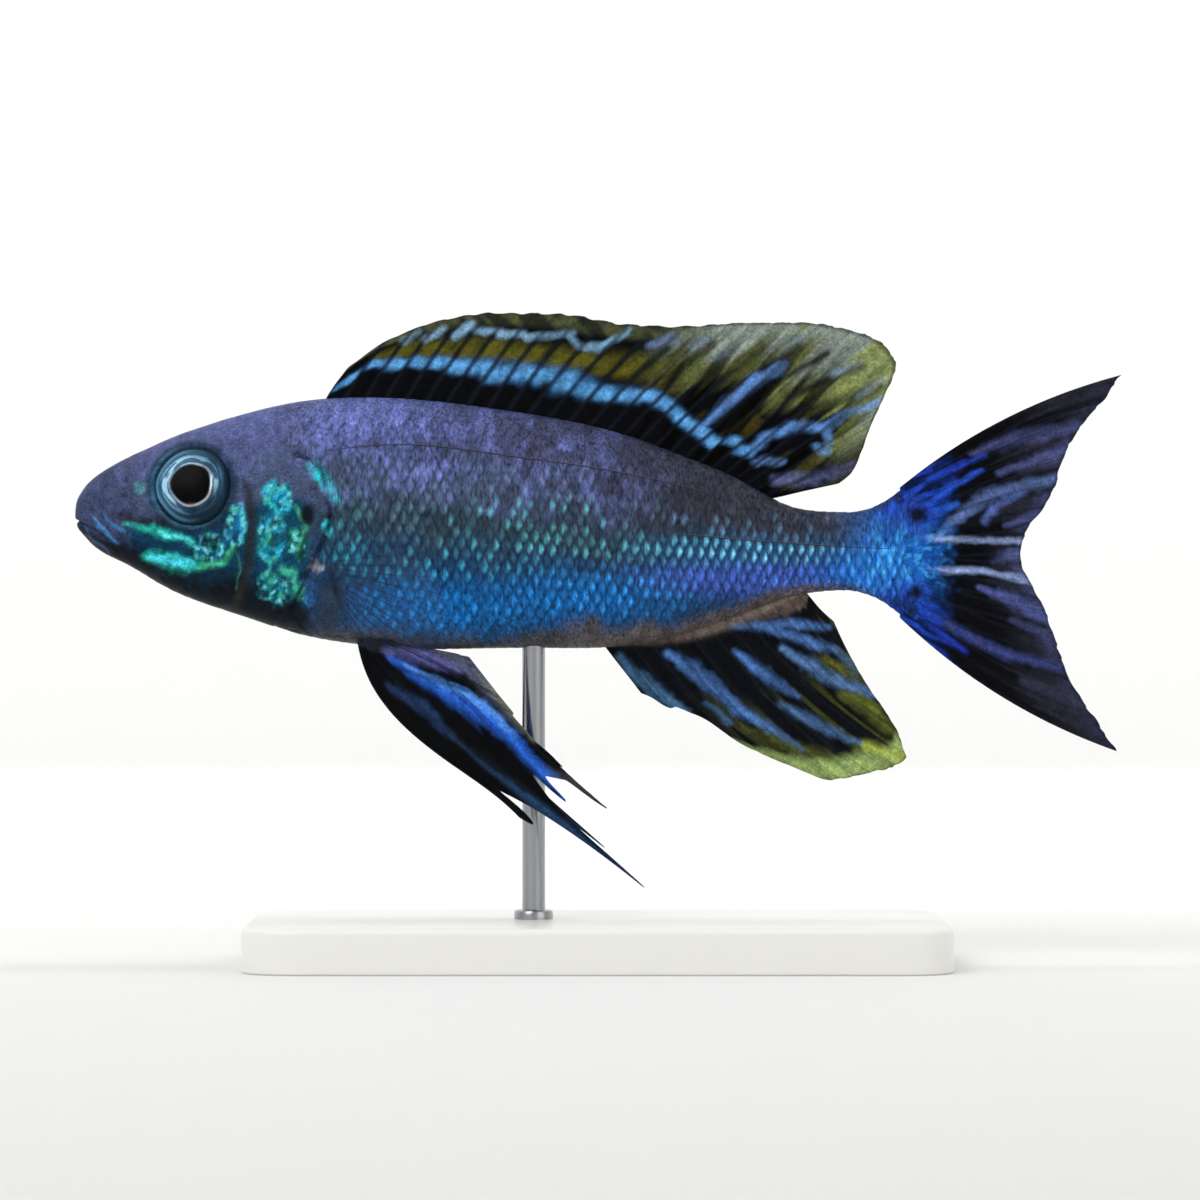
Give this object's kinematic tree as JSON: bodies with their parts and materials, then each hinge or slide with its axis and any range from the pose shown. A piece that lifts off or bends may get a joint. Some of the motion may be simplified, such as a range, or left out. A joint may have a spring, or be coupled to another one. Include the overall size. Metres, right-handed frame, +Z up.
{
  "type": "featherfin cichlid on a display stand",
  "caption": "Life-size male featherfin cichlid, blue-black and iridescent, with spread fins and long pelvic filaments, held level on a plain stand.",
  "frame": {"origin": "centre of the stand's underside, which is the bottom centre of the bounding box", "axes": "the fish faces -X, its left side faces -Y and +Z is up"},
  "size_m": [0.1834, 0.062, 0.1142],
  "materials": {
    "skin": "satin, violet grey",
    "gill_cover": "satin, turquoise spots",
    "flank": "satin, iridescent blue scales",
    "spiny_fin": "satin, black and olive with blue streaks",
    "blue_fin": "satin, black with blue streaks",
    "clear_fin": "thin, smoky and see-through",
    "eye": "glossy, black pupil in a pale blue iris",
    "base": "satin white",
    "rod": "brushed"
  },
  "bodies": {
    "root": {"head": "skin", "lower_jaw": "skin", "gill_cover_left": "gill_cover", "gill_cover_right": "gill_cover", "torso": "flank", "tail_stem": "flank", "dorsal_fin": "spiny_fin", "anal_fin": "spiny_fin", "tail_fin": "blue_fin", "pelvic_fin_left": "blue_fin", "pelvic_fin_right": "blue_fin", "pectoral_fin_left": "clear_fin", "pectoral_fin_right": "clear_fin", "eye_left": "eye", "eye_right": "eye", "stand_base": "base", "stand_rod": "rod"}
  },
  "joints": []
}
